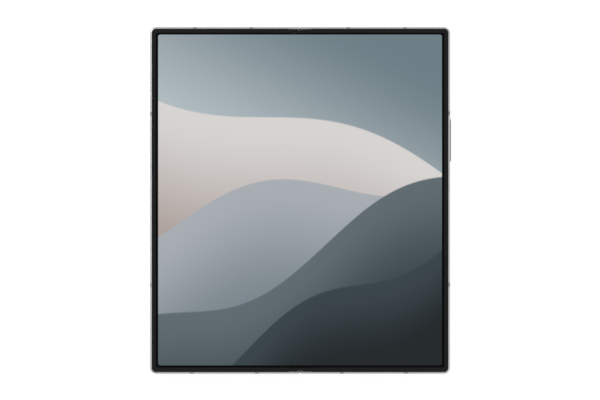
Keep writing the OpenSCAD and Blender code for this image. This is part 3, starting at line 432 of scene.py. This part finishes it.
# ---- Flat cables -----------------------------------------------------------------------
# Copper tracks between two films of amber polyimide carry power and data over the hinge. The
# stretch that crosses the fold has slack, and bends with it.
track_pitch = 0.7 * MM
track_edge = (0.17, 0.28)      # from where to where a track's edge fades in, in pitches
flex_steps = 24


def polyimide(tree):
    # Clear amber; the tracks show through it as lighter lines across the fold.
    place = add(tree, "SeparateXYZ", {}, {0: add(tree, "TexCoord").outputs["Object"]})
    track = add(tree, "Math", {"operation": "PINGPONG"},
                {0: place.outputs["Y"], 1: track_pitch / 2})
    return add(tree, "BsdfPrincipled", {}, {
        "Base Color": tone_between(tree, track, "7A4A12", "B4752A",
                                   *(track_pitch * edge for edge in track_edge)),
        "Roughness": 0.3})


def made(name, mesh, material):
    """An object of a finished bmesh, with its place in its mesh."""
    data = bpy.data.meshes.new(name)
    mesh.to_mesh(data)
    mesh.free()
    data.materials.append(material)
    piece = bpy.data.objects.new(name, data)
    scene.collection.objects.link(piece)
    return piece


def bending_strip(name, node, x0, x1, steps, material):
    """A strip of a node's cross-section from x0 to x1, cut in steps, that can bend at the fold."""
    low, high = corners(node)
    mesh = bmesh.new()
    bmesh.ops.create_cube(mesh, size=1)
    bmesh.ops.scale(mesh, vec=(x1 - x0, high.y - low.y, high.z - low.z), verts=mesh.verts)
    bmesh.ops.translate(mesh, vec=((x0 + x1) / 2, (low.y + high.y) / 2, (low.z + high.z) / 2),
                        verts=mesh.verts)
    for step in range(1, steps):
        bmesh.ops.bisect_plane(mesh, geom=mesh.verts[:] + mesh.edges[:] + mesh.faces[:],
                               plane_co=(x0 + (x1 - x0) * step / steps, 0, 0),
                               plane_no=(1, 0, 0))
    opened = mesh.loops.layers.uv.new("opened")
    for face in mesh.faces:
        for loop in face.loops:
            loop[opened].uv = loop.vert.co.xy
    return made(name, mesh, material)


amber_film = finish_of("amber polyimide film", polyimide)
dress(["main_flex", "cover_flex"], amber_film)
flex_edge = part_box("flex_bend")[1][0]
flex_left = bending_strip("cable_bend_left", "flex_bend", -flex_edge, 0, flex_steps, amber_film)
flex_right = bending_strip("cable_bend_right", "flex_bend", 0, flex_edge, flex_steps, amber_film)
for piece in (flex_left, flex_right):
    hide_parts("flex_bend")
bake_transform(flex_left)
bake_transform(flex_right)

# ---- Support plates --------------------------------------------------------------------
# Thin spring steel behind the display, rolled bright and glued to it. Etched slits let such
# a sheet flex.


def rolled_spring_steel(tree):
    # Fine lines along the fold, the way that the sheet was rolled.
    lines = drawn_lines(tree, width=0.12 * MM, along=0.03)
    rough = add(tree, "MapRange", {}, {"Value": lines, "To Min": 0.18, "To Max": 0.34})
    return add(tree, "BsdfPrincipled", {}, {
        "Base Color": tone_between(tree, lines, "98999B", "ABACAE"), "Metallic": 1.0,
        "Roughness": rough})


spring_sheet = finish_of("rolled spring steel", rolled_spring_steel)
dress(["main_support_plate", "cover_support_plate"], spring_sheet)

# ---- Folding display -------------------------------------------------------------------
# Two flat panels and the bending zone between them are one film of lit pixels under a clear
# hard-coated cover. The lit area is framed by a printed black border, with round corners.
lit_low = Vector((-62.89, -73.11, 0)) * MM      # corners of the lit area
lit_high = Vector((62.89, 73.47, 0)) * MM
lit_corner = 1.0 * MM
lit_edge = 0.12 * MM           # width of the soft change from border to picture
# The sky's colour changes along a slant, between two heights. Heights and widths in the
# picture are shares of the lit area's half height and half width.
sky_slant = 0.45
sky_low = (-0.25, "BCC6CB")
sky_high = (1.25, "6C7D85")
# Each wave of the picture: height at the fold, slope, swell, how many swells, shift, depth
# of its shading, the colour of its crest and the colour that it fades to.
waves = [
    (0.42, -0.34, 0.16, 2.1, 0.5, 0.95, "D6D3D1", "A99C97"),
    (0.02, 0.20, 0.15, 2.7, 2.4, 0.80, "A7ADB2", "79858C"),
    (-0.34, 0.42, 0.12, 3.2, -0.6, 0.60, "5F6B70", "3F4A4E"),
    (-0.72, 0.50, 0.10, 3.9, 1.5, 0.45, "39444A", "23282B"),
]
crest_soft = 0.006
bend_steps = 24


def past_corners(tree, place, low, high, corner):
    """How far a place is from a rectangle that is smaller by its corners' radius, in metres."""
    middle = ((low + high) / 2).xy.to_3d()
    inner = ((high - low) / 2).xy.to_3d() - Vector((corner, corner, 0))
    for operation, value in (
            ("MULTIPLY", (1, 1, 0)), ("SUBTRACT", middle), ("ABSOLUTE", (0, 0, 0)),
            ("SUBTRACT", inner), ("MAXIMUM", (0, 0, 0))):
        place = add(tree, "VectorMath", {"operation": operation}, {0: place, 1: value})
    return add(tree, "VectorMath", {"operation": "LENGTH"}, {0: place}).outputs["Value"]


def faded(tree, factor, low, high, first, second):
    """A colour that goes softly from the first to the second, as a factor goes up."""
    share = add(tree, "MapRange", {"interpolation_type": "SMOOTHSTEP"},
                {"Value": factor, "From Min": low, "From Max": high})
    return add(tree, "Mix", {"data_type": "RGBA"}, {0: share, 6: first, 7: second}).outputs[2]


def soft_waves():
    """A node group that turns a place on the screen, in metres, into the picture's colour."""
    tree = bpy.data.node_groups.new("soft_waves", "ShaderNodeTree")
    tree.interface.new_socket("Place", in_out="INPUT", socket_type="NodeSocketVector")
    tree.interface.new_socket("Colour", in_out="OUTPUT", socket_type="NodeSocketColor")
    tree.interface.new_socket("Lit", in_out="OUTPUT", socket_type="NodeSocketFloat")
    place = tree.nodes.new("NodeGroupInput").outputs["Place"]
    x, y, _ = add(tree, "SeparateXYZ", {}, {0: place}).outputs
    across = add(tree, "Math", {"operation": "DIVIDE"}, {0: x, 1: lit_high.x})
    along = add(tree, "Math", {"operation": "DIVIDE"}, {0: y, 1: lit_high.y})
    slant = add(tree, "Math", {"operation": "MULTIPLY_ADD"}, {0: across, 1: sky_slant, 2: along})
    colour = faded(tree, slant, sky_low[0], sky_high[0], paint(sky_low[1]), paint(sky_high[1]))
    for height, slope, swell, count, shift, depth, crest, foot in waves:
        turn = add(tree, "Math", {"operation": "MULTIPLY_ADD"}, {0: across, 1: count, 2: shift})
        ripple = add(tree, "Math", {"operation": "SINE"}, {0: turn})
        level = add(tree, "Math", {"operation": "MULTIPLY_ADD"}, {0: ripple, 1: swell, 2: height})
        edge = add(tree, "Math", {"operation": "MULTIPLY_ADD"}, {0: across, 1: slope, 2: level})
        under = add(tree, "Math", {"operation": "SUBTRACT"}, {0: edge, 1: along})
        wave = faded(tree, under, 0.0, depth, paint(crest), paint(foot))
        colour = faded(tree, under, -crest_soft, crest_soft, colour, wave)
    lit = add(tree, "MapRange", {}, {
        "Value": past_corners(tree, place, lit_low, lit_high, lit_corner),
        "From Min": lit_corner - lit_edge, "From Max": lit_corner, "To Min": 1.0, "To Max": 0.0})
    output = tree.nodes.new("NodeGroupOutput")
    tree.links.new(colour, output.inputs["Colour"])
    tree.links.new(lit.outputs[0], output.inputs["Lit"])
    return tree


screen_picture = soft_waves()


def screen_film(tree, place):
    # Black and glossy where nothing is lit; a soft picture with even brightness elsewhere.
    picture = add(tree, "Group", {"node_tree": screen_picture}, {"Place": place})
    shown = add(tree, "Mix", {"data_type": "RGBA"}, {
        0: picture.outputs["Lit"], 6: paint("000000"), 7: picture.outputs["Colour"]})
    return add(tree, "BsdfPrincipled", {}, {
        "Base Color": paint("050506"), "Roughness": 0.09, "Specular IOR Level": 0.3,
        "Emission Color": shown.outputs[2], "Emission Strength": 1.0})


flat_screen = finish_of("lit film under hard coat, flat", lambda tree: screen_film(
    tree, add(tree, "TexCoord").outputs["Object"]))
bent_screen = finish_of("lit film under hard coat, bending", lambda tree: screen_film(
    tree, add(tree, "UVMap", {"uv_map": "opened"}).outputs["UV"]))
dress(["main_display_panel", "cover_display_panel"], flat_screen)

bend_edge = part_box("display_fold")[1][0]
screen_left = bending_strip("screen_bend_left", "display_fold", -bend_edge, 0, bend_steps,
                            bent_screen)
screen_right = bending_strip("screen_bend_right", "display_fold", 0, bend_edge, bend_steps,
                             bent_screen)
for piece in (screen_left, screen_right):
    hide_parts("display_fold")
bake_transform(screen_left)
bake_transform(screen_right)

# ---- Rims, end caps and centre pads ----------------------------------------------------
# The raised rim keeps the folded screens apart. It is moulded from a dark, slightly rubbery
# plastic with a fine eroded texture, as are the caps that close it at the ends of the fold.


def eroded_elastomer(tree, dark, light):
    # Near black and dull, with no clear highlight.
    grain, bump = grained(tree, size=0.14 * MM, depth=0.015 * MM, strength=0.3)
    return add(tree, "BsdfPrincipled", {}, {
        "Base Color": tone_between(tree, grain, dark, light), "Roughness": 0.65,
        "Specular IOR Level": 0.2, "Normal": bump})


soft_black = finish_of(
    "eroded black elastomer", lambda tree: eroded_elastomer(tree, "0F0F10", "151516"))
hard_black = finish_of(
    "eroded black elastomer, harder", lambda tree: eroded_elastomer(tree, "0B0B0C", "101011"))
soft_grey = finish_of(
    "eroded grey elastomer", lambda tree: eroded_elastomer(tree, "161617", "1F1F20"))
dress(["main_rim", "cover_rim"], soft_black)
dress(["main_hinge_caps", "cover_hinge_caps"], hard_black)
dress(["centre_pads"], soft_grey)

# ---- Rear cameras ----------------------------------------------------------------------
# A blasted aluminium plate carries three turned steel rings. In each ring a clear cover,
# printed black along its edge, closes a stepped black barrel with a coated lens in it.
cover_window = 4.0 * MM        # radius of the clear middle of the cover
window_edge = 0.1 * MM         # and the width of the change from clear to print
painted_tint_r = (0.3 * MM, 1.7 * MM)  # from where to where the painted reflection tint of the coating goes from violet to green
housing_round = 0.5 * MM
housing_lap = 0.2 * MM         # how deep a barrel's back stands in its sensor's housing
spin_steps = 64
# Radius and depth of the barrel's outline, in millimetres, from its back to its bottom step,
# and of the lens in it.
barrel_outline = [
    (0, 1.6), (4.25, 1.6), (4.25, 0.1), (4.15, 0.0), (3.75, 0.0), (3.6, 0.16), (3.2, 0.16),
    (3.05, 0.34), (2.7, 0.34), (2.55, 0.56), (2.2, 0.56), (2.05, 0.82), (0, 0.82)]
lens_outline = [
    (0, 0.86), (2.0, 0.86), (2.0, 0.72), (1.7, 0.62), (1.2, 0.50), (0.6, 0.43), (0, 0.41)]

ring_low, ring_high = corners("camera_rings")
ring_r = (ring_high.x - ring_low.x) / 2
lens_mid = (ring_low + ring_high) / 2
lens_pitch = ring_high.y - ring_r - lens_mid.y
lens_rows = [lens_mid.y + row * lens_pitch for row in (1, 0, -1)]
module_low, module_high = corners("camera_modules")


def turned_steel(tree):
    # Fine tool marks run round each ring and catch the light.
    grain, bump = grained(tree, size=0.1 * MM, depth=0.01 * MM, strength=0.2)
    return add(tree, "BsdfPrincipled", {}, {
        "Base Color": tone_between(tree, grain, "77797C", "8A8C8F"), "Metallic": 1.0,
        "Roughness": 0.24, "Normal": bump})


def from_lens(tree):
    """How far a place is from the middle of its own lens, in metres."""
    x, y, _ = add(tree, "SeparateXYZ", {}, {0: add(tree, "TexCoord").outputs["Object"]}).outputs
    dx = add(tree, "Math", {"operation": "SUBTRACT"}, {0: x, 1: lens_mid.x})
    dy = add(tree, "Math", {"operation": "SUBTRACT"}, {0: y, 1: lens_mid.y})
    dy = add(tree, "Math", {"operation": "WRAP"}, {0: dy, 1: lens_pitch / 2, 2: -lens_pitch / 2})
    flat = add(tree, "CombineXYZ", {}, {0: dx, 1: dy})
    return add(tree, "VectorMath", {"operation": "LENGTH"}, {0: flat}).outputs["Value"]


def lens_cover_glass(tree):
    # Clear in the middle; black and mirror-like over the print at its edge.
    window = add(tree, "MapRange", {}, {
        "Value": from_lens(tree), "From Min": cover_window,
        "From Max": cover_window + window_edge, "To Min": 1.0, "To Max": 0.0})
    colour = add(tree, "Mix", {"data_type": "RGBA"},
                 {0: window, 6: paint("040405"), 7: paint("FFFFFF")})
    return add(tree, "BsdfPrincipled", {}, {
        "Base Color": colour.outputs[2], "Roughness": 0.02, "IOR": 1.5,
        "Transmission Weight": window})


def coated_lens(tree):
    # The anti-glare coating's violet and green reflection is painted into the colour: violet in
    # the middle and green towards the edge.
    return add(tree, "BsdfPrincipled", {}, {
        "Base Color": tone_between(tree, from_lens(tree), "2A1F4A", "0C2B2C", *painted_tint_r),
        "Roughness": 0.04, "Coat Weight": 1.0, "Coat Roughness": 0.02})


def spun(name, outline, material):
    """One closed solid at each lens, spun from an outline of radii and depths."""
    mesh = bmesh.new()
    for row in lens_rows:
        points = [mesh.verts.new((lens_mid.x + r * MM, row, module_low.z + depth * MM))
                  for r, depth in outline]
        edges = [mesh.edges.new(pair) for pair in zip(points, points[1:])]
        bmesh.ops.spin(mesh, geom=points + edges, cent=(lens_mid.x, row, 0), axis=(0, 0, 1),
                       angle=math.tau, steps=spin_steps, use_merge=True)
    bmesh.ops.remove_doubles(mesh, verts=mesh.verts, dist=0.001 * MM)
    bmesh.ops.recalc_face_normals(mesh, faces=mesh.faces)
    return made(name, mesh, material)


dress(["camera_island"], anodised_silver)
dress(["camera_rings"], finish_of("turned steel", turned_steel))
dress(["camera_lens_glass"], finish_of("coated cover glass", lens_cover_glass))

barrels = spun("camera_barrels", barrel_outline, black_plastic)
lenses = spun("camera_lenses", lens_outline, finish_of("coated lens glass", coated_lens))

# each barrel stands on the housing of its sensor
barrel_back = barrel_outline[0][1] * MM
housing_z0 = module_low.z + barrel_back - housing_lap
housing_w = module_high.x - module_low.x
mesh = bmesh.new()
for row in lens_rows:
    cube = bmesh.ops.create_cube(mesh, size=1)["verts"]
    bmesh.ops.scale(mesh, vec=(housing_w, housing_w, module_high.z - housing_z0), verts=cube)
    bmesh.ops.translate(mesh, vec=(lens_mid.x, row, (module_high.z + housing_z0) / 2), verts=cube)
upright = [edge for edge in mesh.edges
           if abs(edge.verts[0].co.z - edge.verts[1].co.z) > housing_round]
bmesh.ops.bevel(mesh, geom=upright, offset=housing_round, segments=3, profile=0.5,
                affect="EDGES", material=-1)
housings = made("camera_housings", mesh, black_plastic)
for piece in (barrels, housings):
    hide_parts("camera_modules")
    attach(piece, "main_half")
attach(lenses, "main_half")

# ---- Flash -----------------------------------------------------------------------------
# A lens that is moulded from milky plastic, over the yellow phosphor of the lamp. It sits
# flush with the back.


def diffuser(tree):
    # Small moulded cells spread the light and give it a pebbled look.
    place = add(tree, "TexCoord").outputs["Object"]
    cell = add(tree, "TexVoronoi", {}, {"Vector": place, "Scale": 1 / (0.5 * MM)})
    bump = add(tree, "Bump", {}, {"Height": cell, "Strength": 0.4, "Distance": 0.05 * MM})
    return add(tree, "BsdfPrincipled", {}, {
        "Base Color": tone_between(tree, cell, "F2EBCB", "E4D9A6", 0.0, 0.6),
        "Roughness": 0.25, "Normal": bump})


dress(["flash_lens"], finish_of("moulded flash diffuser", diffuser))

# ---- Outer glass -----------------------------------------------------------------------
# The back of the camera half is etched glass with a silver coat behind it. The other half is
# clear polished glass over the outer display, which is off, with a small camera in a hole.
border = 2.9 * MM              # black print round the outer display
display_corner = 2.2 * MM
hole_r = 1.75 * MM
pupil_r = 0.55 * hole_r


def etched_glass(tree):
    # Satin, with a soft pearly depth from the coat behind the etched face.
    grain, bump = grained(tree, size=0.15 * MM, depth=0.005 * MM, strength=0.1)
    place = add(tree, "TexCoord").outputs["Object"]
    cloud = add(tree, "TexNoise", {}, {"Vector": place, "Scale": 1 / (14 * MM), "Detail": 2.0})
    rough = add(tree, "MapRange", {}, {"Value": cloud, "To Min": 0.30, "To Max": 0.38})
    return add(tree, "BsdfPrincipled", {}, {
        "Base Color": tone_between(tree, grain, "AFB3B6", "B7BBBD"), "Metallic": 0.35,
        "Roughness": rough, "Normal": bump, "Coat Weight": 0.25, "Coat Roughness": 0.25})


def glass_over_dark_display(tree):
    # Deep black with sharp reflections. The dark display is a shade bluer than the print
    # round it, and wiping leaves faint smears in the gloss.
    low, high = corners("cover_glass")
    inset = Vector((border, border, 0))
    place = add(tree, "TexCoord").outputs["Object"]
    past = past_corners(tree, place, low + inset, high - inset, display_corner)
    eye = from_middle(tree, "outer_camera")
    within = add(tree, "Math", {"operation": "LESS_THAN"}, {0: past, 1: display_corner})
    beside = add(tree, "Math", {"operation": "GREATER_THAN"}, {0: eye, 1: hole_r})
    shown = add(tree, "Math", {"operation": "MULTIPLY"}, {0: within, 1: beside})
    pupil = add(tree, "Math", {"operation": "LESS_THAN"}, {0: eye, 1: pupil_r})
    dark = add(tree, "Mix", {"data_type": "RGBA"},
               {0: shown, 6: paint("030303"), 7: paint("0D0E11")})
    colour = add(tree, "Mix", {"data_type": "RGBA"},
                 {0: pupil, 6: dark.outputs[2], 7: paint("141A2A")})
    smear = add(tree, "TexNoise", {}, {"Vector": place, "Scale": 1 / (11 * MM), "Detail": 3.0})
    rough = add(tree, "MapRange", {}, {"Value": smear, "To Min": 0.03, "To Max": 0.08})
    return add(tree, "BsdfPrincipled", {}, {
        "Base Color": colour.outputs[2], "Roughness": rough, "IOR": 1.5})


dark_display = finish_of("polished glass over dark display", glass_over_dark_display)
dress(["rear_glass"], finish_of("etched glass over silver coat", etched_glass))
dress(["cover_glass", "outer_display"], dark_display)
